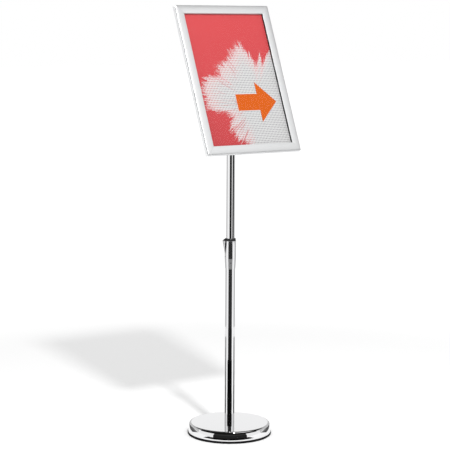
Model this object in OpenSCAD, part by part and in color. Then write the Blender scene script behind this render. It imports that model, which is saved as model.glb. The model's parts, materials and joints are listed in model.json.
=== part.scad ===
// Telescopic floor sign stand: a snap frame for one standard sheet on a two-piece pole
// with a release collar, on a round weighted foot. Millimetres, +Z up.
// The origin is on the floor on the pole's axis, and the sign faces -Y.

/* [Foot] */
// Largest radius of the foot, over its edge ring
foot_r = 124.0; // [110:1:150]
// Height of the foot's flat top
foot_h = 33.6; // [30:0.2:45]
// Sheet thickness of the spun cover
cover_t = 1.2; // [0.8:0.1:2]
// Radius of the shoulder between top and side
shoulder_r = 4.0; // [3:0.5:8]
// Thickness of the cast weight's disc
weight_t = 17.2; // [12:0.2:20]

/* [Pole] */
// Outer radius of the lower tube
low_r = 14.4; // [14.2:0.1:14.8]
// Wall of the lower tube
low_wall = 1.3; // [1.2:0.1:1.5]
// Top end of the lower tube
low_top = 530; // [480:1:530]
// Outer radius of the upper tube
up_r = 12.5; // [12:0.1:12.6]
// Wall of the upper tube
up_wall = 1.5; // [1:0.1:2]
// Lower end of the upper tube at the stored height
up_bottom = 500; // [420:1:500]

/* [Collar] */
// Outer radius of the collar
collar_r = 16.8; // [16.6:0.1:17]
// Direction of the release lever about the pole
lever_az = 145; // [0:5:355]
// Half of the lever's angular width
lever_half = 38; // [30:1:40]

/* [Head] */
// Height of the tilt axis
head_z = 1041; // [1000:1:1041]
// Tilt of the panel back from upright
tilt = 22.4; // [0:0.2:60]
// Distance from the tilt axis to the back plane of the rails
back_n = 28; // [28:0.5:36]

/* [Panel] */
// Overall width of the snap frame
panel_w = 327.5; // [280:0.5:450]
// Overall height of the snap frame
panel_h = 450.5; // [380:0.5:640]
// Width of the frame's face
face_w = 25.25; // [25.25:0.25:30]
// Sheet width
sheet_w = 297; // [250:0.5:420]
// Sheet height
sheet_h = 420; // [350:0.5:600]

/* [Hidden] */
$fn = 96;
e = 0.02;
chrome = [0.82, 0.83, 0.85];
black = [0.07, 0.07, 0.08];
alu = [0.78, 0.79, 0.80];
steel = [0.62, 0.63, 0.65];

// side line of the foot's cover: tangent to the shoulder, down to the edge ring
side_a = 8.5;
foot_edge = foot_r - 1.0;
edge_z = 5.6;
sh_cr = foot_edge - (foot_h - shoulder_r - edge_z + shoulder_r * sin(side_a)) * tan(side_a)
  - shoulder_r * cos(side_a);
sh_cz = foot_h - shoulder_r;
low_in = low_r - low_wall;
up_in = up_r - up_wall;
foot_lip_z = 3.0;

function arc(cx, cy, r, a0, a1, n) =
  [for (i = [0:n]) [cx + r * cos(a0 + (a1 - a0) * i / n), cy + r * sin(a0 + (a1 - a0) * i / n)]];

// ---- foot -------------------------------------------------------------

// thin foam sheet the foot stands on
module base_underlay() {
  color(black)
    cylinder(r = foot_r - 2.6, h = 1.6, $fn = 180);
}

// pressed disc closing the foot from below
module base_plate() {
  color(steel)
    difference() {
      translate([0, 0, 1.6])
        cylinder(r = foot_r - 2.6, h = 1.2, $fn = 180);
      translate([0, 0, 1])
        cylinder(r = 13, h = 3);
    }
}

// black trim ring with a groove for the cover's lower edge
module base_edge_ring() {
  color(black)
    rotate_extrude($fn = 180)
      polygon([[foot_r - 2.55, 0.2], [foot_r - 0.5, 0.2], [foot_r, 0.8], [foot_r - 0.05, edge_z - 0.3],
        [foot_r - 0.35, edge_z], [foot_edge + 0.02, edge_z], [foot_edge + 0.42, foot_lip_z],
        [foot_r - 2.55, foot_lip_z]]);
}

// spun cover: flat top, rounded shoulder, flared side
module base_cover() {
  outer = concat([[7, foot_h]], [for (p = arc(sh_cr, sh_cz, shoulder_r, 90, side_a, 10)) p],
    [[foot_edge, edge_z], [foot_edge + 0.35, foot_lip_z + 0.05]]);
  inner = concat([[foot_edge + 0.35 - cover_t * 1.05, foot_lip_z + 0.05],
      [foot_edge - cover_t * 1.05, edge_z]],
    [for (p = arc(sh_cr, sh_cz, shoulder_r - cover_t, side_a, 90, 10)) p],
    [[7, foot_h - cover_t]]);
  color(chrome)
    rotate_extrude($fn = 180)
      polygon(concat(outer, inner));
}

// cast weight with a hub up to the cover and a pocket for the bolt's head
module base_weight() {
  color([0.2, 0.2, 0.21])
    difference() {
      union() {
        translate([0, 0, 2.8])
          cylinder(r = foot_r - 14, h = weight_t, $fn = 120);
        translate([0, 0, 2.8])
          cylinder(r = 32, h = foot_h - cover_t - 2.8);
        translate([0, 0, 2.8 + weight_t])
          cylinder(r1 = 44, r2 = 32, h = 5);
      }
      translate([0, 0, 1])
        cylinder(r = 14, h = 13);
      translate([0, 0, 1])
        cylinder(r = 5.5, h = foot_h + 5);
      for (a = [0:60:300])
        rotate([0, 0, a + 30])
          translate([78, 0, 2.8 + weight_t - 3])
            cylinder(r = 12, h = 6);
    }
}

// long bolt from the pocket up into the tube's plug
module base_bolt() {
  color(steel) {
    translate([0, 0, 11])
      cylinder(r = 5, h = 45);
    difference() {
      translate([0, 0, 5.6])
        cylinder(r = 9.8, h = 6.4, $fn = 6);
      translate([0, 0, 5])
        cylinder(r = 5.2, h = 1.4);
    }
  }
}

module base_washer() {
  color(steel)
    difference() {
      translate([0, 0, 12])
        cylinder(r = 12.6, h = 2);
      translate([0, 0, 11])
        cylinder(r = 5.25, h = 4);
    }
}

// ---- lower tube and collar ---------------------------------------------

module lower_tube_plug() {
  color(steel)
    difference() {
      translate([0, 0, foot_h])
        cylinder(r = low_in, h = 30);
      translate([0, 0, foot_h - 1])
        cylinder(r = 5, h = 26);
    }
}

module lower_tube() {
  color(chrome)
    difference() {
      translate([0, 0, foot_h])
        cylinder(r = low_r, h = low_top - foot_h);
      translate([0, 0, foot_h - 1])
        cylinder(r = low_in, h = low_top - foot_h + 2);
    }
}

// heights on the collar, all measured from the lower tube's end
c_lo = low_top - 32;
c_cyl = low_top - 2.6;
c_top = low_top + 50;
pin_z = low_top + 22;
pin_d = 15.2;

module on_lever() {
  rotate([0, 0, lever_az])
    children();
}

// sleeve on the lower tube: cone, cylinder, window for the lever's tail, slot for its knuckle
module clamp_collar() {
  color(chrome)
    difference() {
      rotate_extrude($fn = 120)
        polygon([[low_r, c_lo], [low_r + 0.7, c_lo], [collar_r - 0.05, c_cyl - 0.6],
          [collar_r, c_cyl + 0.4], [collar_r, c_top - 0.3], [collar_r - 0.3, c_top],
          [14.0, c_top], [14.0, low_top + 2], [up_r + 0.14, low_top + 2],
          [up_r + 0.14, low_top], [low_r, low_top]]);
      on_lever() {
        rotate([0, 0, -lever_half - 1.5])
          rotate_extrude(angle = 2 * lever_half + 3, $fn = 120)
            translate([13.6, low_top + 3])
              square([6, 15.6]);
        translate([12, -5, low_top + 3])
          cube([8, 10, 24.5]);
        translate([pin_d, -8, pin_z])
          rotate([-90, 0, 0])
            cylinder(r = 1.1, h = 16, $fn = 32);
        for (a = [-95, 95])
          rotate([0, 0, a])
            translate([12, 0, low_top - 15])
              rotate([0, 90, 0])
                cylinder(r = 1.5, h = 8, $fn = 32);
      }
    }
}

// two grub screws locking the sleeve on the tube
module collar_screws() {
  color([0.25, 0.25, 0.27])
    on_lever()
      for (a = [-95, 95])
        rotate([0, 0, a])
          difference() {
            translate([low_r + 0.05, 0, low_top - 15])
              rotate([0, 90, 0])
                cylinder(r = 1.5, h = 1.35, $fn = 32);
            translate([low_r + 0.6, 0, low_top - 15])
              rotate([0, 90, 0])
                cylinder(r = 0.8, h = 2, $fn = 6);
          }
}

// guide ring on the collar, with a sloping brow over the lever
module collar_cap() {
  color(black)
    difference() {
      union() {
        rotate_extrude($fn = 120)
          polygon([[up_r + 0.06, c_top - 6], [13.95, c_top - 6], [13.95, c_top],
            [15.8, c_top], [15.8, c_top + 5.1], [14.6, c_top + 6.9], [up_r + 0.6, c_top + 6.9],
            [up_r + 0.06, c_top + 6.3]]);
        on_lever()
          rotate([0, 0, -lever_half + 3])
            rotate_extrude(angle = 2 * lever_half - 6, $fn = 120)
              polygon([[15.2, c_top + 0.8], [21.6, c_top + 0.8], [21.7, c_top + 1.4],
                [14.6, c_top + 6.9], [13.6, c_top + 6.9], [13.6, c_top + 0.8]]);
      }
      on_lever()
        translate([11.5, -5, c_top - 7])
          cube([3, 10, 2.2]);
    }
}

module lever_pin() {
  color(steel)
    on_lever()
      intersection() {
        translate([pin_d, -8, pin_z])
          rotate([-90, 0, 0])
            cylinder(r = 1.1, h = 16, $fn = 32);
        translate([0, 0, pin_z - 4])
          cylinder(r = collar_r - 0.05, h = 8);
      }
}

// leaf riveted to the collar behind the lever's upper half
module lever_spring() {
  color(steel)
    on_lever()
      translate([0, 2.5, 0])
        rotate([90, 0, 0])
          linear_extrude(5)
            polygon([[collar_r + 0.02, pin_z + 8.0], [collar_r + 0.42, pin_z + 8.0],
              [collar_r + 0.5, pin_z + 13], [collar_r + 1.45, pin_z + 20],
              [collar_r + 1.15, pin_z + 20.2], [collar_r + 0.02, pin_z + 13.2]]);
}

// curved trigger: flush tail below the pin, flared finger plate above it
module release_lever() {
  out = [[collar_r, low_top + 4], [collar_r, low_top + 11], [17.4, low_top + 15],
    [18.35, low_top + 19], [18.8, low_top + 23], [19.35, low_top + 27],
    [20.5, low_top + 33], [22.0, low_top + 40], [22.9, low_top + 46.6],
    [23.1, low_top + 49.8]];
  inn = [[21.7, low_top + 49.8], [21.5, low_top + 46.6], [20.6, low_top + 40], [19.15, low_top + 33],
    [18.0, low_top + 27], [17.45, low_top + 23], [16.95, low_top + 19],
    [16.0, low_top + 15], [15.4, low_top + 11], [15.4, low_top + 4]];
  color(chrome)
    on_lever()
      difference() {
        union() {
          rotate([0, 0, -lever_half])
            rotate_extrude(angle = 2 * lever_half, $fn = 120)
              polygon(concat(out, inn));
          translate([pin_d, -4.6, pin_z])
            rotate([-90, 0, 0])
              cylinder(r = 2.2, h = 9.2, $fn = 48);
          translate([pin_d, -4.6, pin_z - 1.6])
            cube([2.4, 9.2, 3.2]);
        }
        translate([pin_d, -6, pin_z])
          rotate([-90, 0, 0])
            cylinder(r = 1.15, h = 12, $fn = 32);
      }
}

// friction pad on the lever's tail
module brake_pad() {
  color([0.12, 0.12, 0.12])
    on_lever()
      rotate([0, 0, -30])
        rotate_extrude(angle = 60, $fn = 120)
          polygon([[up_r + 0.06, low_top + 5.2], [15.38, low_top + 5.2],
            [15.38, low_top + 10.8], [14.6, low_top + 14.5], [up_r + 0.06, low_top + 14.5]]);
}

// ---- upper tube ---------------------------------------------------------

// plastic foot in the upper tube's end, running in the lower tube
module glide_bush() {
  color(black)
    difference() {
      union() {
        translate([0, 0, up_bottom - 14])
          cylinder(r = low_in - 0.06, h = 13.95);
        translate([0, 0, up_bottom - 1])
          cylinder(r = up_in - 0.05, h = 19);
      }
      translate([0, 0, up_bottom - 15])
        cylinder(r = 7.5, h = 40);
    }
}

module upper_tube() {
  color(chrome)
    difference() {
      translate([0, 0, up_bottom])
        cylinder(r = up_r, h = head_z - 29 - up_bottom);
      translate([0, 0, up_bottom - 1])
        cylinder(r = up_in, h = head_z - 29 - up_bottom + 2);
      translate([0, 0, head_z - 43])
        rotate([-90, 0, 0])
          cylinder(r = 2.05, h = 20, $fn = 32);
    }
}

// ---- head ----------------------------------------------------------------

// die-cast fork with a spigot in the upper tube
module head_fork() {
  color(alu)
    difference() {
      union() {
        translate([0, 0, head_z - 57])
          cylinder(r = up_in, h = 29);
        translate([0, 0, head_z - 29])
          cylinder(r = up_r, h = 10);
        for (s = [-1, 1]) {
          translate([s * 7.5 - 2.5, -9, head_z - 20])
            cube([5, 18, 20]);
          translate([s * 7.5 - 2.5, 0, head_z])
            rotate([0, 90, 0])
              cylinder(r = 9, h = 5);
        }
      }
      translate([-12, 0, head_z])
        rotate([0, 90, 0])
          cylinder(r = 4, h = 24, $fn = 48);
      translate([0, 0, head_z - 43])
        rotate([-90, 0, 0])
          cylinder(r = 2.0, h = 20, $fn = 32);
    }
}

// button screw through the tube into the fork's spigot
module head_screw() {
  color(steel)
    translate([0, 0, head_z - 43])
      difference() {
        union() {
          rotate([-90, 0, 0])
            cylinder(r = 2.0, h = 13, $fn = 32);
          translate([0, up_r + 0.02, 0])
            rotate([-90, 0, 0])
              cylinder(r1 = 3.7, r2 = 2.6, h = 1.9, $fn = 48);
        }
        translate([0, up_r + 0.5, 0])
          rotate([-90, 0, 0])
            cylinder(r = 1.2, h = 3, $fn = 6);
        translate([0, -1, 0])
          rotate([-90, 0, 0])
            cylinder(r = 3, h = 5, $fn = 32);
      }
}

module tilt_bolt() {
  color(steel)
    translate([0, 0, head_z])
      rotate([0, 90, 0]) {
        translate([0, 0, -12])
          cylinder(r = 4, h = 38, $fn = 48);
        intersection() {
          translate([0, 0, -15.5])
            cylinder(r = 7.5, h = 5.5, $fn = 6);
          translate([0, 0, -15.5])
            cylinder(r1 = 6.7, r2 = 9.5, h = 5.5);
        }
      }
}

// nylon discs between the ears and the tongue
module friction_washers() {
  color([0.85, 0.85, 0.82])
    for (x = [-5, 4.05])
      translate([x, 0, head_z])
        rotate([0, 90, 0])
          difference() {
            cylinder(r = 8.4, h = 0.95);
            translate([0, 0, -1])
              cylinder(r = 4, h = 3, $fn = 48);
          }
}

module knob_washer() {
  color(steel)
    translate([10, 0, head_z])
      rotate([0, 90, 0])
        difference() {
          cylinder(r = 8.5, h = 1.2);
          translate([0, 0, -1])
            cylinder(r = 4, h = 4, $fn = 48);
        }
}

// six-lobed clamping knob
module tilt_knob() {
  color(black)
    translate([11.4, 0, head_z])
      rotate([0, 90, 0])
        difference() {
          union() {
            cylinder(r = 9.5, h = 4);
            translate([0, 0, 3])
              cylinder(r = 14, h = 11);
            translate([0, 0, 14 - e])
              cylinder(r1 = 14, r2 = 11.5, h = 2.5);
          }
          for (a = [0:60:300])
            rotate([0, 0, a])
              translate([16, 0, 2])
                cylinder(r = 4.6, h = 16, $fn = 48);
          translate([0, 0, -1])
            cylinder(r = 6, h = 11, $fn = 48);
          translate([0, 0, 9])
            cylinder(r = 4.3, h = 6, $fn = 48);
        }
}

module knob_insert() {
  color([0.78, 0.62, 0.3])
    translate([11.4, 0, head_z])
      rotate([0, 90, 0])
        difference() {
          cylinder(r = 6, h = 9.9, $fn = 48);
          translate([0, 0, -1])
            cylinder(r = 4.05, h = 12, $fn = 48);
        }
}

// places children in the panel's frame: X across, Y up the panel, Z out of its face
module on_panel() {
  translate([0, 0, head_z])
    rotate([90 - tilt, 0, 0])
      children();
}

// tongue, disc and stud in one casting, with a stop pin
module tilt_arm() {
  color(alu)
    on_panel()
      difference() {
        union() {
          rotate([0, 90, 0])
            translate([0, 0, -4])
              cylinder(r = 8.8, h = 8);
          translate([-4, -8.8, 0])
            cube([8, 17.6, 17]);
          translate([0, 0, 16.5])
            cylinder(r = 28, h = 3);
          translate([0, 0, 19])
            cylinder(r = 5, h = 10.2, $fn = 48);
          rotate([0, 0, 135])
            translate([18, 0, 19])
              cylinder(r = 2, h = 5.5, $fn = 32);
        }
        translate([-6, 0, 0])
          rotate([0, 90, 0])
            cylinder(r = 4.06, h = 12, $fn = 48);
      }
}

module pivot_washer() {
  color([0.85, 0.85, 0.82])
    on_panel()
      translate([0, 0, 19.5])
        difference() {
          cylinder(r = 14, h = 0.95);
          translate([0, 0, -1])
            cylinder(r = 5, h = 3, $fn = 48);
        }
}

module pivot_inner_washer() {
  color(steel)
    on_panel()
      translate([0, 0, 22.55])
        difference() {
          cylinder(r = 10.5, h = 1.2);
          translate([0, 0, -1])
            cylinder(r = 5, h = 4, $fn = 48);
        }
}

module pivot_nut() {
  color(steel)
    on_panel()
      translate([0, 0, 23.75])
        difference() {
          intersection() {
            cylinder(r = 9.2, h = 5, $fn = 6);
            cylinder(r1 = 12, r2 = 8.3, h = 5);
          }
          translate([0, 0, -1])
            cylinder(r = 5, h = 7, $fn = 48);
        }
}

rivet_r = 42;

// pressed dish carrying the panel, with an arc slot for the stop pin
module mount_plate() {
  color(alu)
    on_panel()
      difference() {
        rotate_extrude($fn = 120)
          polygon([[5.06, 20.5], [29, 20.5], [31, 22], [32.5, 29], [50, 29], [50, back_n + 3],
            [30.9, back_n + 3], [29.2, 22.6], [5.06, 22.5]]);
        rotate([0, 0, 45])
          rotate_extrude(angle = 90, $fn = 120)
            translate([15.8, 20])
              square([4.4, 4]);
        for (a = [45, 135])
          rotate([0, 0, a])
            translate([18, 0, 20])
              cylinder(r = 2.2, h = 4, $fn = 32);
        for (a = [0:90:270])
          rotate([0, 0, a])
            translate([rivet_r, 0, 28])
              cylinder(r = 2, h = 5, $fn = 32);
      }
}

module mount_rivets() {
  color(steel)
    on_panel()
      for (a = [0:90:270])
        rotate([0, 0, a])
          translate([rivet_r, 0, 0]) {
            translate([0, 0, 28])
              cylinder(r = 2, h = back_n + 4.5 - 28, $fn = 32);
            translate([0, 0, 27.6])
              cylinder(r1 = 3.2, r2 = 4.2, h = 0.8, $fn = 48);
            translate([0, 0, 28.4])
              cylinder(r = 4.2, h = 0.6, $fn = 48);
          }
}

// ---- panel ----------------------------------------------------------------

shelf_n = back_n + 3;
rail_d = 20;

module back_panel() {
  color([0.86, 0.87, 0.87])
    on_panel()
      difference() {
        translate([-panel_w / 2 + 8.8, -panel_h / 2 + 8.8, shelf_n])
          cube([panel_w - 17.6, panel_h - 17.6, 1.5]);
        for (a = [0:90:270])
          rotate([0, 0, a])
            translate([rivet_r, 0, shelf_n - 1])
              cylinder(r = 2, h = 5, $fn = 32);
      }
}

module poster() {
  color([0.85, 0.3, 0.3])
    on_panel()
      translate([-sheet_w / 2, -sheet_h / 2, shelf_n + 1.5])
        cube([sheet_w, sheet_h, 0.3]);
}

module cover_sheet() {
  color([0.9, 0.93, 0.95, 0.35])
    on_panel()
      translate([-sheet_w / 2 - 1.5, -sheet_h / 2 - 1.5, shelf_n + 1.8])
        cube([sheet_w + 3, sheet_h + 3, 0.8]);
}

// mitred prism over one side of length len whose outer edge lies at -half, pulled in by gap
module mitre(len, half, depth, gap, z0, z1) {
  translate([0, -half, z0])
    linear_extrude(z1 - z0)
      polygon([[-len / 2 + gap, -1], [len / 2 - gap, -1], [len / 2 - gap - 0.001, 0],
        [len / 2 - depth - gap, depth], [-len / 2 + depth + gap, depth],
        [-len / 2 + gap + 0.001, 0]]);
}

// lays a profile (x inward, y out of the face) along one side
module along(len, half, z0) {
  translate([0, -half, z0])
    rotate([90, 0, 90])
      linear_extrude(len, center = true)
        children();
}

// fixed rail: floor, outer wall, roof, neck, sheet shelf; the bead is added as a rod
module rail_shape(len, half) {
  intersection() {
    union() {
      along(len, half, back_n)
        polygon([[0, 0], [rail_d, 0], [rail_d, 3], [18.6, 3], [18.6, 1.4], [11, 1.4], [11, 3],
          [8.6, 3], [8.6, 5.4], [7.2, 5.4], [7.2, 1.4], [1.5, 1.4], [1.5, 4.4], [3.8, 4.4],
          [3.8, 9.2], [2.6, 9.2], [2.6, 5.6], [0.4, 5.6], [0, 5.2]]);
      translate([0, -half + 3.2, back_n + 9.2])
        rotate([0, 90, 0])
          cylinder(r = 1.5, h = len, center = true, $fn = 48);
    }
    mitre(len, half, rail_d + 1, 0, back_n - 1, back_n + 12);
  }
}

// hinged cover: bowed face, pressing lip and a hook round the bead
module cover_body(len, half) {
  translate([0, -half, back_n])
    union() {
      difference() {
        translate([0, 13, 13 - 80])
          rotate([0, 90, 0])
            cylinder(r = 80, h = len, center = true, $fn = 360);
        translate([0, 13, 13 - 80])
          rotate([0, 90, 0])
            cylinder(r = 78.7, h = len + 2, center = true, $fn = 360);
        translate([-len / 2 - 1, -100, -160])
          cube([len + 2, 103.2, 190]);
        translate([-len / 2 - 1, face_w, -160])
          cube([len + 2, 100, 190]);
        translate([-len / 2 - 1, -1, -160])
          cube([len + 2, 60, 164]);
      }
      translate([-len / 2, face_w - 1.3, 5.8])
        cube([len, 1.3, 5.6]);
      rotate([90, 0, 90])
        linear_extrude(len, center = true)
          polygon(concat(arc(3.2, 9.2, 3.2, -60, 152, 24), arc(3.2, 9.2, 1.8, 152, -60, 24)));
    }
}

module cover_shape(len, half) {
  union() {
    intersection() {
      cover_body(len, half);
      mitre(len, half, face_w + 2, 0.12, back_n + 9.2, back_n + 15);
      translate([-len, -half + 1.98, back_n])
        cube([2 * len, face_w, 20]);
    }
    intersection() {
      cover_body(len, half);
      mitre(len, half, face_w + 2, 1.6, back_n + 9.2, back_n + 15);
      translate([-len, -half - 2, back_n])
        cube([2 * len, 4, 20]);
    }
    intersection() {
      cover_body(len, half);
      mitre(len, half, face_w + 2, 0.45, back_n, back_n + 9.4);
      translate([-len, -half + 10, back_n])
        cube([2 * len, face_w, 12]);
    }
    intersection() {
      cover_body(len, half);
      mitre(len, half, face_w + 2, 3.2, back_n, back_n + 9.4);
      translate([-len, -half - 2, back_n])
        cube([2 * len, 10, 12]);
    }
  }
}

module rail_bottom() {
  color(alu)
    on_panel()
      rail_shape(panel_w, panel_h / 2);
}

module rail_right() {
  color(alu)
    on_panel()
      rotate([0, 0, 90])
        rail_shape(panel_h, panel_w / 2);
}

module rail_top() {
  color(alu)
    on_panel()
      rotate([0, 0, 180])
        rail_shape(panel_w, panel_h / 2);
}

module rail_left() {
  color(alu)
    on_panel()
      rotate([0, 0, 270])
        rail_shape(panel_h, panel_w / 2);
}

module cover_bottom() {
  color([0.84, 0.85, 0.86])
    on_panel()
      cover_shape(panel_w, panel_h / 2);
}

module cover_right() {
  color([0.84, 0.85, 0.86])
    on_panel()
      rotate([0, 0, 90])
        cover_shape(panel_h, panel_w / 2);
}

module cover_top() {
  color([0.84, 0.85, 0.86])
    on_panel()
      rotate([0, 0, 180])
        cover_shape(panel_w, panel_h / 2);
}

module cover_left() {
  color([0.84, 0.85, 0.86])
    on_panel()
      rotate([0, 0, 270])
        cover_shape(panel_h, panel_w / 2);
}

// flat steel angles in the rails' channels, tying the corners
module corner_brackets() {
  color(steel)
    on_panel()
      for (sx = [0, 1], sy = [0, 1])
        mirror([sx, 0, 0])
          mirror([0, sy, 0])
            translate([-panel_w / 2 + 11.1, -panel_h / 2 + 11.1, back_n + 1.42]) {
              cube([45, 7.4, 1.5]);
              cube([7.4, 45, 1.5]);
            }
}

// leaf springs standing on the rails under the covers
module spring_leaf(half, x) {
  translate([x, -half, back_n])
    rotate([90, 0, 90])
      linear_extrude(14, center = true)
        polygon([[7.3, 5.42], [8.5, 5.42], [8.5, 5.9], [9.5, 9.4], [10.3, 10.8], [9.9, 11.0],
          [9.0, 9.6], [7.9, 6.1], [7.3, 6.1]]);
}

module snap_springs() {
  color(steel)
    on_panel() {
      for (a = [0, 180], x = [-1, 1])
        rotate([0, 0, a])
          spring_leaf(panel_h / 2, x * panel_w * 0.27);
      for (a = [90, 270], x = [-1, 1])
        rotate([0, 0, a])
          spring_leaf(panel_w / 2, x * panel_h * 0.3);
    }
}

base_underlay();
base_plate();
base_edge_ring();
base_cover();
base_weight();
base_bolt();
base_washer();
lower_tube_plug();
lower_tube();
clamp_collar();
collar_screws();
collar_cap();
lever_pin();
lever_spring();
release_lever();
brake_pad();
glide_bush();
upper_tube();
head_fork();
head_screw();
tilt_bolt();
friction_washers();
knob_washer();
tilt_knob();
knob_insert();
tilt_arm();
pivot_washer();
pivot_inner_washer();
pivot_nut();
mount_plate();
mount_rivets();
back_panel();
poster();
cover_sheet();
corner_brackets();
snap_springs();
rail_bottom();
rail_right();
rail_top();
rail_left();
cover_bottom();
cover_right();
cover_top();
cover_left();
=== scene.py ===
"""Looks of the telescopic sign stand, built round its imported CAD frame. Metres, +Z up."""

import json
import math

import bpy
from mathutils import Matrix, Vector

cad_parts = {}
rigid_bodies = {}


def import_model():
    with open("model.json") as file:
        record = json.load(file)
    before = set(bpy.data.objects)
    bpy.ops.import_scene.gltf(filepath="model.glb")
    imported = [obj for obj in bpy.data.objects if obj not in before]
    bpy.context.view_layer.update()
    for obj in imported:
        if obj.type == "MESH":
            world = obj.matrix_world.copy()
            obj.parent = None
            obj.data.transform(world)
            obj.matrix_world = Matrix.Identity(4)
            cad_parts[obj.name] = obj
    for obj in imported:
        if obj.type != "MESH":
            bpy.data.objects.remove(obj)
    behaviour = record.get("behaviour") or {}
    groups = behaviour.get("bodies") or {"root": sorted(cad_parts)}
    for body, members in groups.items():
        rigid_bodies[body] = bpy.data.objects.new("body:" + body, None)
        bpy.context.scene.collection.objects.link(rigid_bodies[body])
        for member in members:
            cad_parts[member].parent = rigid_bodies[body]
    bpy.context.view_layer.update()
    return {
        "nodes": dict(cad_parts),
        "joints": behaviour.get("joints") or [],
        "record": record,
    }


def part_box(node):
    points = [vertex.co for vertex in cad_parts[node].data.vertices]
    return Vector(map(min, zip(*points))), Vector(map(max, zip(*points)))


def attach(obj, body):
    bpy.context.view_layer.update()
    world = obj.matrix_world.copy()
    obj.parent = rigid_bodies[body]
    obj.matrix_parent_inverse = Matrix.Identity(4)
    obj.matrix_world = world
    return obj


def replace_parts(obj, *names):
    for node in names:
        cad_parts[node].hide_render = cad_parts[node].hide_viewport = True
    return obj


for default in list(bpy.data.objects):
    bpy.data.objects.remove(default)

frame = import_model()
NODES = frame["nodes"]
JOINT = {j["name"]: j for j in frame["joints"]}
MM = 0.001

# the panel's own frame: U across, V up the panel, N out of its face, from the tilt axis
HEAD = Vector(JOINT["head_tilt"]["pos_m"])
N = Vector(JOINT["panel_turn"]["axis"]).normalized()
U = Vector((1, 0, 0))
V = N.cross(U)
TO_PANEL = Matrix((U, V, N)).transposed().to_4x4()
TO_PANEL.translation = HEAD


def panel_size():
    """Overall width and height of the snap frame, from its outermost rails."""
    low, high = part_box("rail_bottom")
    width = high.x - low.x
    corners = [(Vector(v.co) - HEAD).dot(V) for v in NODES["rail_left"].data.vertices]
    return width, max(corners) - min(corners)


PANEL_W, PANEL_H = panel_size()
BACK_N = min((Vector(v.co) - HEAD).dot(N) for v in NODES["rail_left"].data.vertices)

# ---------------------------------------------------------------- materials


class Graph:
    """Short calls for building one material's nodes."""

    def __init__(self, name):
        self.material = bpy.data.materials.new(name)
        self.material.use_nodes = True
        self.tree = self.material.node_tree
        self.shader = self.tree.nodes["Principled BSDF"]

    def node(self, kind, **settings):
        made = self.tree.nodes.new("ShaderNode" + kind)
        for key, value in settings.items():
            setattr(made, key, value)
        return made

    def link(self, value, socket):
        """Joins another node's output to a socket, or sets the socket to a plain value."""
        if isinstance(value, bpy.types.NodeSocket):
            self.tree.links.new(value, socket)
        else:
            socket.default_value = value

    def math(self, operation, a, b=0.0, c=0.0):
        made = self.node("Math", operation=operation)
        for value, socket in zip((a, b, c), made.inputs):
            self.link(value, socket)
        return made.outputs[0]

    def object_point(self):
        return self.node("TexCoord").outputs["Object"]

    def scaled(self, vector, scale):
        made = self.node("VectorMath", operation="MULTIPLY")
        self.link(vector, made.inputs[0])
        made.inputs[1].default_value = scale
        return made.outputs[0]

    def dot(self, vector, axis):
        made = self.node("VectorMath", operation="DOT_PRODUCT")
        self.link(vector, made.inputs[0])
        made.inputs[1].default_value = axis
        return made.outputs["Value"]

    def noise(self, vector, scale, detail=3.0, roughness=0.55):
        made = self.node("TexNoise")
        self.link(vector, made.inputs["Vector"])
        made.inputs["Scale"].default_value = scale
        made.inputs["Detail"].default_value = detail
        made.inputs["Roughness"].default_value = roughness
        return made.outputs["Fac"]

    def fan_noise(self, angle, radius, turns, stretch, detail):
        """Noise drawn out along rays from one point."""
        made = self.node("CombineXYZ")
        self.link(self.math("MULTIPLY", angle, turns), made.inputs[0])
        self.link(self.math("MULTIPLY", radius, stretch), made.inputs[1])
        return self.noise(made.outputs[0], 1.0, detail, 0.6)

    def spread(self, value, low, high):
        """A value between 0 and 1, spread over low to high."""
        made = self.node("MapRange")
        self.link(value, made.inputs["Value"])
        made.inputs["To Min"].default_value = low
        made.inputs["To Max"].default_value = high
        return made.outputs[0]

    def mix(self, factor, a, b):
        made = self.node("Mix", data_type="RGBA")
        self.link(factor, made.inputs["Factor"])
        self.link(a, made.inputs["A"])
        self.link(b, made.inputs["B"])
        return made.outputs["Result"]

    def bump(self, height, strength, distance):
        """Fine relief; distance is its depth in metres."""
        made = self.node("Bump")
        made.inputs["Strength"].default_value = strength
        made.inputs["Distance"].default_value = distance
        self.link(height, made.inputs["Height"])
        self.link(made.outputs["Normal"], self.shader.inputs["Normal"])

    def set(self, **values):
        """Sets the shader's inputs by name, with _ for a space, and returns the material."""
        for key, value in values.items():
            self.link(value, self.shader.inputs[key.replace("_", " ")])
        return self.material


def rgb(*channels):
    """A colour given in sRGB bytes, as linear RGBA."""
    def linear(c):
        c /= 255
        return c / 12.92 if c <= 0.04045 else ((c + 0.055) / 1.055) ** 2.4
    return tuple(linear(c) for c in channels) + (1.0,)


def shaded(colour, share):
    """A colour darkened to a share of itself."""
    return tuple(c * share for c in colour[:3]) + (1,)


def chrome(name, wear=0.0, bright=0.80):
    """Polished chrome with a faint haze and wiping marks that run along the pole."""
    g = Graph(name)
    point = g.object_point()
    haze = g.noise(g.scaled(point, (60, 60, 12)), scale=1.0, detail=4.0)
    fine = g.noise(point, scale=900.0, detail=2.0)
    g.bump(fine, strength=0.02, distance=0.02 * MM)
    return g.set(Base_Color=(bright, bright, bright * 1.01, 1), Metallic=1.0,
                 Roughness=g.spread(haze, 0.02 + wear, 0.07 + wear))


# noise scales along and across the die lines of an extrusion
LINE_ALONG, LINE_ACROSS = 14.0, 2600.0


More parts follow.
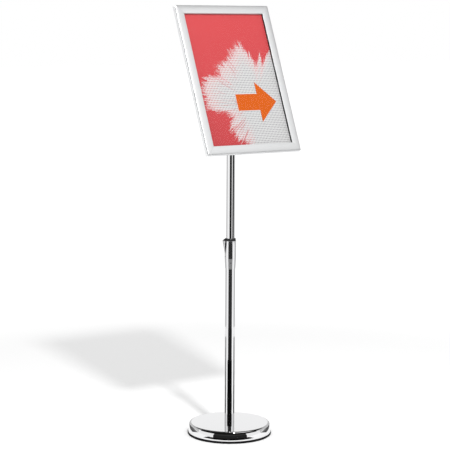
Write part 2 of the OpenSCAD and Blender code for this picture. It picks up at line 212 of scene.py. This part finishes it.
def satin_aluminium(name, along, colour=(0.68, 0.685, 0.69, 1), rough=(0.30, 0.42), metallic=0.7):
    """Anodised extrusion: fine die lines along its length, even sheen across."""
    g = Graph(name)
    point = g.object_point()
    across = [Vector(a) for a in (U, V, N)]
    stretch = [LINE_ALONG if abs(a.dot(along)) > 0.9 else LINE_ACROSS for a in across]
    parts = [g.math("MULTIPLY", g.dot(point, a), s) for a, s in zip(across, stretch)]
    joined = g.node("CombineXYZ")
    for part, socket in zip(parts, joined.inputs):
        g.link(part, socket)
    lines = g.noise(joined.outputs[0], scale=1.0, detail=2.0)
    cloud = g.noise(point, scale=35.0, detail=3.0)
    g.bump(lines, strength=0.10, distance=0.04 * MM)
    tint = g.mix(g.spread(cloud, 0.0, 1.0), shaded(colour, 0.96), colour)
    return g.set(Base_Color=tint, Metallic=metallic, Roughness=g.spread(lines, *rough))


def cast_metal(name, colour, rough=(0.4, 0.6), metallic=1.0, grain=1400.0, depth=0.06 * MM):
    """Tumbled casting or plated part: pitted skin, uneven sheen."""
    g = Graph(name)
    point = g.object_point()
    pits = g.noise(point, grain, detail=4.0, roughness=0.7)
    cloud = g.noise(point, scale=90.0, detail=3.0)
    g.bump(pits, 0.35, depth)
    tint = g.mix(cloud, shaded(colour, 0.86), colour)
    return g.set(Base_Color=tint, Metallic=metallic, Roughness=g.spread(pits, *rough))


def moulded(name, colour, rough=(0.38, 0.52), grain=2200.0, depth=0.04 * MM, gloss=0.5):
    """Moulded plastic or rubber with a spark-eroded grain."""
    g = Graph(name)
    point = g.object_point()
    grit = g.noise(point, grain, detail=3.0, roughness=0.6)
    cloud = g.noise(point, scale=60.0, detail=2.0)
    g.bump(grit, 0.30, depth)
    tint = g.mix(cloud, shaded(colour, 0.85), colour)
    return g.set(Base_Color=tint, Roughness=g.spread(grit, *rough), Specular_IOR_Level=gloss)


# ---------------------------------------------------------------- printed sheet

# the sheet's colours: the red ground at its top and, darker, at its foot, then the printed brush
# patch, its dots and the arrow
RED = rgb(176, 61, 64)
RED_LOW = rgb(163, 56, 59)
PALE = rgb(185, 185, 185)
DOT = rgb(113, 112, 114)
ORANGE = rgb(178, 77, 2)
# sizes on the sheet are in millimetres, and places are taken from its centre
RED_SPAN = 400.0
DOT_PITCH = 7.4
# the arrow: its ends across the sheet, the height of its middle, half the widths of its parts
ARROW = dict(tail=-20.0, neck=56.0, tip=120.0, mid=-71.0, shaft=25.0, head=61.0)
ARROW_LAP, ARROW_EDGE = 1.0, 0.3
# the dry brush patch: where its strokes start, and how far they reach at each part of a turn
BURST = (55.0, -75.0)
FULL_REACH = 260.0
REACH = ((0.0, 1.0), (0.15, 0.90), (0.178, 0.70), (0.19, 0.44), (0.203, 0.62), (0.216, 0.44),
         (0.27, 0.70), (0.34, 0.58), (0.38, 0.62), (0.40, 0.55), (0.42, 0.68), (0.45, 0.72),
         (0.51, 0.68), (0.532, 0.46), (0.56, 0.42), (0.58, 0.50), (0.625, 0.54), (0.677, 0.53),
         (0.73, 0.90), (1.0, 1.0))
# how much the bundles of bristles and the single bristles vary that reach
BUNDLE_SHARE, BRISTLE_SHARE = 0.22, 0.34
# bare streaks: how far left of the start they begin, how rare they are, how deep they cut
BARE_FROM, BARE_CUT, BARE_DEPTH = 60.0, 0.66, 200.0
# depth into the patch over which its dots shrink
DOT_FADE = 70.0


def step(g, value, width):
    """0 below zero, 1 above, with an edge of the given width."""
    made = g.node("MapRange", interpolation_type="SMOOTHSTEP")
    g.link(value, made.inputs["Value"])
    made.inputs["From Min"].default_value = -width
    made.inputs["From Max"].default_value = width
    return made.outputs[0]


def arrow_mask(g, u, v):
    """1 inside a plain block arrow pointing to the right."""
    off = g.math("ABSOLUTE", g.math("SUBTRACT", v, ARROW["mid"]))
    shaft = g.math("MINIMUM", g.math("SUBTRACT", ARROW["shaft"], off),
                   g.math("MINIMUM", g.math("SUBTRACT", u, ARROW["tail"]),
                          g.math("SUBTRACT", ARROW["neck"] + ARROW_LAP, u)))
    slope = ARROW["head"] / (ARROW["tip"] - ARROW["neck"])
    reach = g.math("MULTIPLY", g.math("SUBTRACT", ARROW["tip"], u), slope)
    head = g.math("MINIMUM", g.math("SUBTRACT", reach, off), g.math("SUBTRACT", u, ARROW["neck"]))
    return step(g, g.math("MAXIMUM", shaft, head), ARROW_EDGE)


def brush_depth(g, u, v):
    """Millimetres inside a patch of dry brush strokes that fan out from one point."""
    du = g.math("SUBTRACT", u, BURST[0])
    dv = g.math("SUBTRACT", v, BURST[1])
    angle = g.math("ARCTAN2", dv, du)
    turn = g.math("FRACT", g.math("ADD", g.math("DIVIDE", angle, 2 * math.pi), 1.0))
    radius = g.math("SQRT", g.math("ADD", g.math("MULTIPLY", du, du), g.math("MULTIPLY", dv, dv)))
    reach = g.node("ValToRGB")
    ramp = reach.color_ramp
    while len(ramp.elements) < len(REACH):
        ramp.elements.new(0.5)
    for element, (place, share) in zip(ramp.elements, REACH):
        element.position = place
        element.color = (share, share, share, 1)
    g.link(turn, reach.inputs["Fac"])
    bundle = g.fan_noise(angle, radius, turns=30.0, stretch=0.012, detail=3.0)
    bristle = g.fan_noise(angle, radius, turns=110.0, stretch=0.03, detail=2.0)
    wobble = g.math("ADD", g.math("MULTIPLY", g.math("SUBTRACT", bundle, 0.5), BUNDLE_SHARE),
                    g.math("MULTIPLY", g.math("SUBTRACT", bristle, 0.5), BRISTLE_SHARE))
    shown = g.math("ADD", reach.outputs["Color"], wobble)
    depth = g.math("SUBTRACT", g.math("MULTIPLY", shown, FULL_REACH), radius)
    # bare streaks the bristles left, on the side where the strokes run out
    streak = g.fan_noise(angle, radius, turns=60.0, stretch=0.006, detail=1.0)
    far_left = g.math("SUBTRACT", g.math("MULTIPLY", du, -1.0), BARE_FROM)
    bare = g.math("MULTIPLY", step(g, g.math("SUBTRACT", streak, BARE_CUT), 0.03),
                  step(g, far_left, 12.0))
    return g.math("SUBTRACT", depth, g.math("MULTIPLY", bare, BARE_DEPTH))


def printed_sheet():
    """Red ground, pale dotted brush patch and an orange arrow, on coated paper."""
    g = Graph("poster_print")
    point = g.object_point()
    u = g.math("MULTIPLY", g.dot(point, U), 1000.0)
    v = g.math("SUBTRACT", g.math("MULTIPLY", g.dot(point, V), 1000.0), HEAD.dot(V) * 1000.0)
    depth = brush_depth(g, u, v)
    # two slanted waves whose product is a lattice of dots
    wave = 2 * math.pi / DOT_PITCH * math.sqrt(0.5)
    rising = g.math("SINE", g.math("MULTIPLY", g.math("ADD", u, v), wave))
    falling = g.math("SINE", g.math("MULTIPLY", g.math("SUBTRACT", u, v), wave))
    dots = g.math("MULTIPLY", rising, falling)
    height = g.math("DIVIDE", g.math("ADD", v, RED_SPAN / 2), RED_SPAN)
    ground = g.mix(g.spread(height, 0, 1), RED_LOW, RED)
    # red shows between the pale dots near the patch's edge, grey dots further in
    closing = g.math("ADD", g.math("DIVIDE", depth, DOT_FADE), 0.1)
    open_red = step(g, g.math("SUBTRACT", dots, closing), 0.12)
    patch = g.mix(step(g, g.math("SUBTRACT", dots, 0.25), 0.15), PALE, DOT)
    patch = g.mix(open_red, patch, ground)
    ink = g.mix(step(g, depth, 1.0), ground, patch)
    ink = g.mix(arrow_mask(g, u, v), ink, ORANGE)
    fibre = g.noise(point, scale=900.0, detail=3.0, roughness=0.7)
    g.bump(fibre, strength=0.08, distance=0.03 * MM)
    return g.set(Base_Color=ink, Roughness=g.spread(fibre, 0.4, 0.55), Specular_IOR_Level=0.12)


# ---------------------------------------------------------------- other finishes


def clear_plastic():
    """Clear cover sheet: a faint veil and a soft gloss over the print."""
    g = Graph("clear_sheet")
    point = g.object_point()
    wave = g.noise(point, scale=6.0, detail=2.0)
    g.bump(wave, strength=0.05, distance=0.4 * MM)
    haze = g.noise(point, scale=40.0)
    return g.set(Base_Color=(1, 1, 1, 1), Roughness=g.spread(haze, 0.06, 0.12),
                 Alpha=0.006, IOR=1.49, Specular_IOR_Level=0.2)


def foam():
    """Closed-cell black foam."""
    g = Graph("foam_black")
    point = g.object_point()
    cells = g.node("TexVoronoi")
    g.link(point, cells.inputs["Vector"])
    cells.inputs["Scale"].default_value = 900.0
    g.bump(cells.outputs["Distance"], strength=0.5, distance=0.2 * MM)
    tint = g.mix(cells.outputs["Distance"], (0.02, 0.02, 0.022, 1), (0.045, 0.045, 0.05, 1))
    return g.set(Base_Color=tint, Roughness=0.92)


MATERIALS = {
    "foam_black": foam(),
    "steel_zinc": cast_metal("steel_zinc", (0.60, 0.61, 0.63, 1), (0.25, 0.4), grain=2600.0),
    "trim_black": moulded("trim_black", (0.008, 0.008, 0.009, 1), (0.55, 0.7), gloss=0.08),
    "chrome_foot": chrome("chrome_foot", bright=0.82),
    "iron_cast": cast_metal("iron_cast", (0.05, 0.05, 0.055, 1), (0.5, 0.75), metallic=0.6,
                            grain=500.0, depth=0.4 * MM),
    "chrome_low": chrome("chrome_low"),
    "chrome_collar": chrome("chrome_collar", wear=0.01),
    "steel_dark": cast_metal("steel_dark", (0.10, 0.10, 0.11, 1), (0.3, 0.45)),
    "plastic_black": moulded("plastic_black", (0.014, 0.014, 0.015, 1)),
    "steel_spring": cast_metal("steel_spring", (0.35, 0.36, 0.40, 1), (0.3, 0.4)),
    "chrome_lever": chrome("chrome_lever", wear=0.02),
    "rubber_pad": moulded("rubber_pad", (0.02, 0.02, 0.02, 1), (0.7, 0.9), grain=1200.0,
                          depth=0.1 * MM),
    "chrome_up": chrome("chrome_up"),
    "alu_cast": cast_metal("alu_cast", (0.62, 0.63, 0.64, 1), (0.38, 0.55)),
    "nylon": moulded("nylon", (0.72, 0.71, 0.66, 1), (0.4, 0.55)),
    "knob_black": moulded("knob_black", (0.016, 0.016, 0.017, 1), (0.42, 0.6), grain=1500.0,
                          depth=0.08 * MM),
    "brass": cast_metal("brass", (0.70, 0.52, 0.22, 1), (0.2, 0.35)),
    "alu_plate": satin_aluminium("alu_plate", U, (0.72, 0.73, 0.74, 1)),
    "rivet_alu": cast_metal("rivet_alu", (0.70, 0.71, 0.72, 1), (0.3, 0.42)),
    "backing_grey": moulded("backing_grey", (0.66, 0.67, 0.68, 1), (0.45, 0.6), grain=700.0,
                            depth=0.05 * MM),
    "poster_print": printed_sheet(),
    "clear_sheet": clear_plastic(),
}
# which way each side's extrusions run, and the grey of the painted shade on the inner lip of its
# cover: a different tone on each side, darkest on the left and right
ALONG = {"bottom": U, "top": U, "left": V, "right": V}
LIP_PAINTED_SHADE = {"bottom": 0.4, "top": 0.6, "left": 0.02, "right": 0.02}
for side, run in ALONG.items():
    tone = LIP_PAINTED_SHADE[side]
    MATERIALS["lip_" + side] = satin_aluminium(
        "alu_lip_painted_shade_" + side, run, (tone, tone, tone * 1.02, 1), (0.5, 0.65), metallic=0.2)
    # painted light: the rails get a paler copy of the covers' aluminium, so their shaded outer
    # walls read near-white
    MATERIALS["rail_" + side] = satin_aluminium(
        "alu_rail_painted_light_" + side, run, (0.88, 0.885, 0.89, 1), metallic=0.3)
    MATERIALS["cover_" + side] = satin_aluminium("alu_cover_" + side, run)

SLOT_OF = {s["node"]: s["material_slot"] for s in frame["record"]["subparts"]}


def dress_cad():
    """Gives each carried-over CAD node its own finish, or else that of its slot."""
    for name, obj in NODES.items():
        finish = MATERIALS.get(name) or MATERIALS.get(SLOT_OF[name])
        if finish is not None:
            for held in obj.material_slots:
                held.material = finish


dress_cad()

# ---------------------------------------------------------------- mesh helpers


def make(name, points, faces, material, body, smooth_deg=35.0):
    """A finished mesh piece that rides on a body."""
    mesh = bpy.data.meshes.new(name)
    mesh.from_pydata([tuple(p) for p in points], [], faces)
    mesh.validate()
    mesh.update()
    obj = bpy.data.objects.new(name, mesh)
    bpy.context.scene.collection.objects.link(obj)
    mesh.materials.append(material)
    mesh.shade_smooth()
    mesh.set_sharp_from_angle(angle=math.radians(smooth_deg))
    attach(obj, body)
    return obj


def rounded(corners, steps=5):
    """A closed outline from (x, y, radius) corners, each turned with a smooth curve."""
    out = []
    count = len(corners)
    for i, (x, y, radius) in enumerate(corners):
        here = Vector((x, y))
        before = Vector(corners[i - 1][:2]) - here
        after = Vector(corners[(i + 1) % count][:2]) - here
        if radius <= 0:
            out.append(here)
            continue
        half = before.angle(after) / 2
        reach = min(radius / math.tan(half), 0.49 * before.length, 0.49 * after.length)
        start, end = here + before.normalized() * reach, here + after.normalized() * reach
        for k in range(steps + 1):
            t = k / steps
            out.append(start * (1 - t) ** 2 + here * 2 * t * (1 - t) + end * t ** 2)
    return out


def lathe(name, outline, material, body, segments=256, smooth_deg=35.0):
    """Turns a closed (radius, height) outline about Z."""
    n = len(outline)
    points = [Vector((r * math.cos(a), r * math.sin(a), z))
              for a in (2 * math.pi * k / segments for k in range(segments)) for r, z in outline]
    faces = [(k * n + i, ((k + 1) % segments) * n + i,
              ((k + 1) % segments) * n + (i + 1) % n, k * n + (i + 1) % n)
             for k in range(segments) for i in range(n)]
    return make(name, points, faces, material, body, smooth_deg)


# ---------------------------------------------------------------- foot


def foot_cover():
    """Spun shell: flat top, soft shoulder, side that turns upright toward the floor."""
    low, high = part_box("base_cover")
    flare, bore = 0.35 * MM, 14.6 * MM
    edge, top, bottom = high.x - flare, high.z, low.z
    wall, shoulder, skirt = 1.2 * MM, 5.8 * MM, 5.6 * MM
    steep, upright = math.radians(14), math.radians(3)
    side_steps, arc_steps = 24, 14
    # up the side from the skirt, leaning in more and more
    drop = top - shoulder + shoulder * math.sin(steep) - skirt
    side = [Vector((edge, skirt))]
    for k in range(side_steps):
        lean = upright + (steep - upright) * (k + 0.5) / side_steps
        side.append(side[-1] + Vector((-math.tan(lean), 1)) * (drop / side_steps))
    side.reverse()
    centre = Vector((side[0].x - shoulder * math.cos(steep), top - shoulder))
    turns = [math.pi / 2 - (math.pi / 2 - steep) * k / arc_steps for k in range(arc_steps)]
    arc = [centre + Vector((math.cos(a), math.sin(a))) * shoulder for a in turns]
    outer = [Vector((bore, top))] + arc + side + [Vector((edge + flare, bottom))]
    # the inner skin lies straight in from the side, and under the top and the shoulder
    inset = wall * 0.6
    inner = [Vector((p.x - wall, p.y)) if p.y < top - shoulder else
             Vector((p.x - inset, p.y - wall)) for p in reversed(outer[1:])]
    inner.append(Vector((bore, top - wall)))
    return lathe("foot_cover", outer + inner, MATERIALS["chrome_foot"], "foot")


def foot_edge_ring():
    """Trim strip with a rolled lip and a groove line."""
    low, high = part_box("base_edge_ring")
    lip_rise, tuck, depth = 1.2 * MM, 2.5 * MM, 2.5 * MM
    out, top, bottom = high.x, high.z + lip_rise, low.z
    groove = bottom + 2.5 * MM
    outline = rounded([
        (out - depth, bottom, 0.2 * MM), (out - 0.3 * MM, bottom, 0.5 * MM),
        (out, groove - 0.7 * MM, 0.6 * MM), (out - 0.35 * MM, groove, 0.15 * MM),
        (out, groove + 0.7 * MM, 0.6 * MM), (out - 0.25 * MM, top, 0.35 * MM),
        (out - 0.95 * MM, top, 0.15 * MM), (out - 0.62 * MM, top - tuck, 0),
        (out - depth, top - tuck, 0.1 * MM)], 4)
    return lathe("foot_edge_ring", outline, MATERIALS["trim_black"], "foot")


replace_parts(foot_cover(), "base_cover")
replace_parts(foot_edge_ring(), "base_edge_ring")

# ---------------------------------------------------------------- snap covers

# a cover's section, from the panel's outer edge inward and out from the back plane of the rails
FACE = 25.25 * MM
SKIN = 1.3 * MM
CROWN, CROWN_R = Vector((13 * MM, -67 * MM)), 80 * MM
HOOK, HOOK_R, BEAD_R = Vector((3.2 * MM, 9.2 * MM)), 3.2 * MM, 1.8 * MM
LIP_FOOT = 5.8 * MM
# the mitre gap at a cover's outer edge and on its face, then at its hook and under its face
EDGE_GAP, FACE_GAP, HOOK_GAP, UNDER_GAP = 1.6 * MM, 0.12 * MM, 3.2 * MM, 0.45 * MM
EDGE_WIDTH, HOOK_WIDTH = 1.98 * MM, 10 * MM
# the faces that make up the inner lip, which carry the painted shade: how close to its edge, and
# how far out
LIP_BAND, LIP_TOP = 0.35 * MM, 11.8 * MM


def arc_points(centre, radius, start_deg, end_deg, count):
    """Points on an arc, both ends included."""
    return [centre + Vector((math.cos(a), math.sin(a))) * radius
            for a in (math.radians(start_deg + (end_deg - start_deg) * k / count)
                      for k in range(count + 1))]


def cover_outline():
    """Section of a snap cover: hook round the bead, bowed face, rounded inner lip."""
    top = arc_points(CROWN, CROWN_R, 97.03, 81.9, 22)
    under = arc_points(CROWN, CROWN_R - SKIN, 82.6, 96.6, 18)
    outer_hook = arc_points(HOOK, HOOK_R, 150, 99, 10)
    inner_hook = arc_points(HOOK, BEAD_R, -58, 150, 22)
    hook_tail = arc_points(HOOK, HOOK_R, 20, -58, 10)
    edge = rounded([(top[-1].x, top[-1].y, 0), (FACE, top[-1].y - 0.1 * MM, 0.7 * MM),
                    (FACE, LIP_FOOT, 0.35 * MM), (FACE - SKIN, LIP_FOOT, 0.35 * MM),
                    (FACE - SKIN, under[0].y, 0.3 * MM)], 6)
    return outer_hook + top[1:] + edge[1:] + under[1:] + hook_tail + inner_hook


def mitre_gap(inward, out):
    """Gap at each end of a cover: a hairline on the face, wider at the edge and the hook."""
    if out >= HOOK.y:
        return FACE_GAP if inward > EDGE_WIDTH else EDGE_GAP
    return UNDER_GAP if inward > HOOK_WIDTH else HOOK_GAP


def snap_cover(side, quarter, length, half):
    """One mitred cover along a side, with painted shade on its inner lip as a second material."""
    outline = cover_outline()
    turn = Matrix.Rotation(math.radians(90 * quarter), 4, "Z")
    points = []
    for end in (-1, 1):
        for inward, out in outline:
            reach = length / 2 - inward - mitre_gap(inward, out)
            local = Vector((end * reach, -half + inward, BACK_N + out))
            points.append(TO_PANEL @ (turn @ local))
    n = len(outline)
    faces = [(i, (i + 1) % n, n + (i + 1) % n, n + i) for i in range(n)]
    faces += [tuple(reversed(range(n))), tuple(range(n, 2 * n))]
    obj = make("snap_cover_" + side, points, faces, MATERIALS["cover_" + side],
               "snap_" + side, 28.0)
    # painted shade: the inner lip's faces take a dark second material that stands for the shadow
    # in the gap under the lip
    obj.data.materials.append(MATERIALS["lip_" + side])
    for i in range(n):
        pair = (outline[i], outline[(i + 1) % n])
        if all(p.x > FACE - LIP_BAND and p.y < LIP_TOP for p in pair):
            obj.data.polygons[i].material_index = 1
    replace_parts(obj, "cover_" + side)


for quarter, side in enumerate(("bottom", "right", "top", "left")):
    spans = (PANEL_W, PANEL_H / 2) if quarter % 2 == 0 else (PANEL_H, PANEL_W / 2)
    snap_cover(side, quarter, *spans)

# ---------------------------------------------------------------- studio


def stage_mesh(name, points, faces, material):
    """A mesh that belongs to the studio."""
    mesh = bpy.data.meshes.new(name)
    mesh.from_pydata([tuple(p) for p in points], [], faces)
    mesh.materials.append(material)
    obj = bpy.data.objects.new(name, mesh)
    bpy.context.scene.collection.objects.link(obj)
    return obj


FLOOR_TONE, FLOOR_HALF = 0.79, 30.0
# the floor turns into backdrop round this distance from the pole, over this much either way
FADE_AT, FADE_HALF, BACKDROP_GLOW = 1.75, 0.4, 1.08


def floor():
    """Pale studio floor that runs into the white backdrop further away."""
    g = Graph("floor_white")
    point = g.object_point()
    speck = g.noise(point, 300.0)
    g.set(Base_Color=(FLOOR_TONE, FLOOR_TONE, FLOOR_TONE, 1),
          Roughness=g.spread(speck, 0.85, 0.95), Specular_IOR_Level=0.0)
    reach = g.node("VectorMath", operation="LENGTH")
    g.link(point, reach.inputs[0])
    fade = step(g, g.math("SUBTRACT", reach.outputs["Value"], FADE_AT), FADE_HALF)
    glow = g.node("Emission")
    glow.inputs["Strength"].default_value = BACKDROP_GLOW
    blend = g.node("MixShader")
    g.link(fade, blend.inputs["Fac"])
    g.link(g.shader.outputs[0], blend.inputs[1])
    g.link(glow.outputs[0], blend.inputs[2])
    g.link(blend.outputs[0], g.tree.nodes["Material Output"].inputs["Surface"])
    corners = [(x * FLOOR_HALF, y * FLOOR_HALF, 0.0)
               for x, y in ((-1, -1), (1, -1), (1, 1), (-1, 1))]
    stage_mesh("floor", corners, [(0, 1, 2, 3)], g.material)


EYE = Vector((-2.5633, -3.6462, 1.2277))
YAW, PITCH, ROLL = math.radians(34.9), math.radians(7.689), math.radians(0.29)
LENS, SENSOR = 122.63, 36.0


def camera():
    """Looks from EYE along YAW, clockwise from +Y, and down by PITCH, tipped by ROLL."""
    flat = Vector((math.sin(YAW), math.cos(YAW), 0))
    right = Vector((math.cos(YAW), -math.sin(YAW), 0))
    up = Vector((0, 0, 1))
    ahead = flat * math.cos(PITCH) - up * math.sin(PITCH)
    above = flat * math.sin(PITCH) + up * math.cos(PITCH)
    side = right * math.cos(ROLL) + above * math.sin(ROLL)
    top = above * math.cos(ROLL) - right * math.sin(ROLL)
    data = bpy.data.cameras.new("camera")
    data.lens, data.sensor_width = LENS, SENSOR
    data.clip_start, data.clip_end = 0.05, 100
    obj = bpy.data.objects.new("camera", data)
    bpy.context.scene.collection.objects.link(obj)
    turn = Matrix((side, top, -ahead)).transposed().to_4x4()
    turn.translation = EYE
    obj.matrix_world = turn
    bpy.context.scene.camera = obj


def area_light(name, place, target, size, power):
    """A round soft light aimed at a target."""
    data = bpy.data.lights.new(name, "AREA")
    data.shape, data.size, data.energy = "DISK", size, power
    obj = bpy.data.objects.new(name, data)
    bpy.context.scene.collection.objects.link(obj)
    obj.location = place
    obj.rotation_euler = (Vector(target) - Vector(place)).to_track_quat("-Z", "Y").to_euler()


def world(level):
    """Even white light from all round."""
    made = bpy.data.worlds.new("studio")
    made.use_nodes = True
    shade = made.node_tree.nodes["Background"]
    shade.inputs["Color"].default_value = (1, 1, 1, 1)
    shade.inputs["Strength"].default_value = level
    bpy.context.scene.world = made


def card(name, points, faces, level):
    """A reflection card of one grey level, seen only in shiny surfaces."""
    g = Graph(name)
    tree = g.tree
    tree.nodes.remove(g.shader)
    glow = g.node("Emission")
    glow.inputs["Color"].default_value = (level, level, level, 1)
    g.link(glow.outputs[0], tree.nodes["Material Output"].inputs["Surface"])
    obj = stage_mesh(name, points, faces, g.material)
    for flag in ("visible_camera", "visible_diffuse", "visible_shadow", "visible_transmission",
                 "visible_volume_scatter"):
        setattr(obj, flag, False)


def bearing(degrees):
    """Unit direction along the floor, turned to the eye's right from the one toward the eye."""
    base = math.atan2(EYE.y, EYE.x)
    a = base + math.radians(degrees)
    return Vector((math.cos(a), math.sin(a)))


def band(name, bearings, low, high, level, count=24):
    """A card swept round the pole between two bearings and two (radius, height) edges."""
    start, end = bearings
    turns = [bearing(start + (end - start) * k / count) for k in range(count + 1)]
    points = [(d.x * r, d.y * r, z) for r, z in (low, high) for d in turns]
    n = count + 1
    card(name, points, [(i, i + 1, n + i + 1, n + i) for i in range(count)], level)


def dome(name, radius, lowest, level, gap_bearing, gap_half, gap_lifts):
    """A dim ceiling above one elevation, open where the panel's face mirrors the eye."""
    rows, columns = 35, 72
    points, faces = [], []
    for i in range(rows + 1):
        lift = math.radians(lowest + (90 - lowest) * i / rows)
        for k in range(columns):
            d = bearing(360 * k / columns)
            points.append((d.x * radius * math.cos(lift), d.y * radius * math.cos(lift),
                           radius * math.sin(lift)))
    for i in range(rows):
        lift = lowest + (90 - lowest) * (i + 0.5) / rows
        for k in range(columns):
            aside = (360 * (k + 0.5) / columns - gap_bearing + 180) % 360 - 180
            if abs(aside) < gap_half and gap_lifts[0] < lift < gap_lifts[1]:
                continue
            beside = (k + 1) % columns
            faces.append((i * columns + k, i * columns + beside,
                          (i + 1) * columns + beside, (i + 1) * columns + k))
    card(name, points, faces, level)


floor()
camera()
world(1.0)
area_light("key", (-0.66, -2.26, 3.29), (0, 0, 0.6), size=0.28, power=86.0)

# The cards are set for what the chrome mirrors toward EYE. First their distances from the pole,
# the heights where they meet, and how far off the floor the flat ones lie.
NEAR, BEHIND, FOOT_R, CONE_R = 1.0, 1.5, 0.16, 0.035
LOW_TOP, SPLIT, BACK_SPLIT, TALL = 0.12, 0.437, 0.75, 1.1
FLAT = 0.0015

# the dark side of the room, where the eye stands, with cards close to the foot and the collar
band("card_low", (-43, 47), (NEAR, 0.0), (NEAR, LOW_TOP), 0.02)
band("card_middle", (-41, 45), (NEAR, LOW_TOP), (NEAR, SPLIT), 0.035)
band("card_foot", (-57, 54), (FOOT_R, 0.034), (FOOT_R, 0.088), 0.006)
band("card_floor", (-56, 52), (0.21, FLAT), (NEAR, FLAT), 0.004)
band("card_up_left", (-27, 31), (NEAR, SPLIT), (NEAR, TALL), 0.02)
band("card_up_right", (50, 99), (NEAR, SPLIT), (NEAR, TALL), 0.012)
band("card_cone", (-28, 32), (CONE_R, 0.4928), (CONE_R, 0.5224), 0.28)

# the grey edges of the tubes: the floor and the air behind, darker close to the foot
RINGS, RING_FROM, RING_STEP = 6, 0.2, 0.2
for hand, bearings in {"left": (-172, -92), "right": (92, 172)}.items():
    for k in range(RINGS):
        inner, outer = RING_FROM + RING_STEP * k, RING_FROM + RING_STEP * (k + 1)
        band(f"card_back_floor_{hand}_{k}", bearings, (inner, FLAT), (outer, FLAT),
             0.11 + 0.06 * k)
    band("card_back_low_" + hand, bearings, (BEHIND, 0.02), (BEHIND, BACK_SPLIT), 0.60)
    band("card_back_high_" + hand, bearings, (BEHIND, BACK_SPLIT), (BEHIND, TALL), 0.46)
dome("ceiling", radius=2.2, lowest=20.5, level=0.04, gap_bearing=55.0, gap_half=42.0,
     gap_lifts=(36.0, 68.0))

bpy.context.scene.view_settings.view_transform = "Standard"
